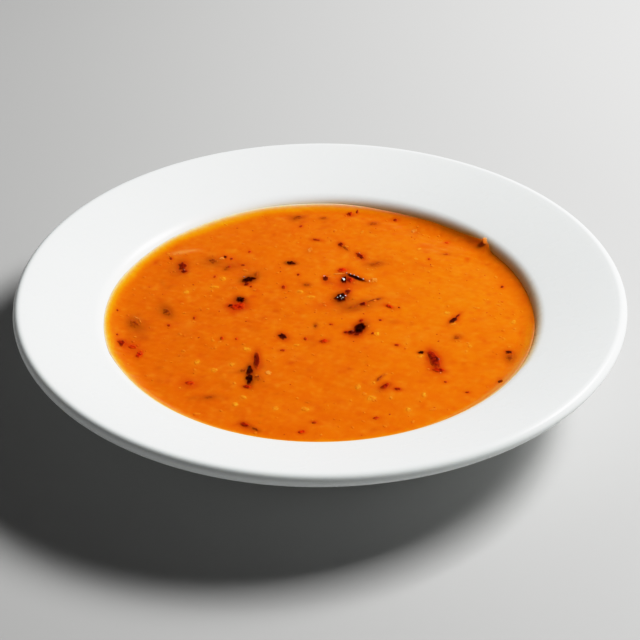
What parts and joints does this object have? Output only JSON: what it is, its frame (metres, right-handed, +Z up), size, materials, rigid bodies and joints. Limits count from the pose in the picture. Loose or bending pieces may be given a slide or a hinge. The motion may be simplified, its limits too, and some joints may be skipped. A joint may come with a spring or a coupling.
{
  "type": "tomato soup",
  "caption": "Thick orange tomato soup with charred and red flecks, filled into a round white porcelain plate with a deep well and a wide sloping rim.",
  "frame": {"origin": "centre of the foot ring's resting plane, on the plate's axis", "axes": "+Z up along the plate's axis, out of the soup; -Y towards the side the picture was taken from, +X to its right"},
  "size_m": [0.23, 0.23, 0.0346],
  "materials": {
    "porcelain": "gloss",
    "soup": "gloss"
  },
  "bodies": {
    "root": {"plate": "porcelain", "soup": "soup"}
  },
  "joints": []
}
